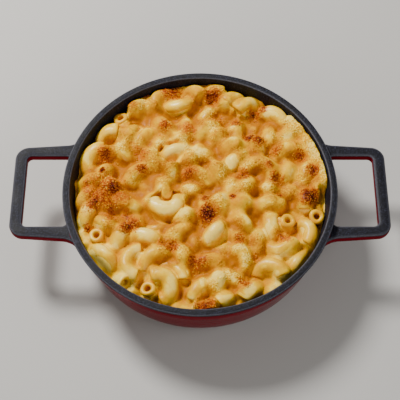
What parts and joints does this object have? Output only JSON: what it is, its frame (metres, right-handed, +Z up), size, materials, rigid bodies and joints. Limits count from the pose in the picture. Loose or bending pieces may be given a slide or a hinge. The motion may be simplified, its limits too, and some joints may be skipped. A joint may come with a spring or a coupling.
{
  "type": "baked macaroni and cheese in a two-handled pan",
  "caption": "Baked macaroni and cheese heaped just below the rim of a round enamelled cast-iron pan with two flat loop handles.",
  "frame": {"origin": "centre of the pan's flat base", "axes": "+X through the two handles, +Y away from the front, +Z up"},
  "size_m": [0.231, 0.168, 0.047],
  "materials": {
    "enamelled_iron": "matt black enamel inside and on top, glossy deep red enamel outside",
    "baked_pasta": "moist, cream to orange, browned in spots"
  },
  "bodies": {
    "root": {"pan": "enamelled_iron", "mac_and_cheese": "baked_pasta"}
  },
  "joints": []
}
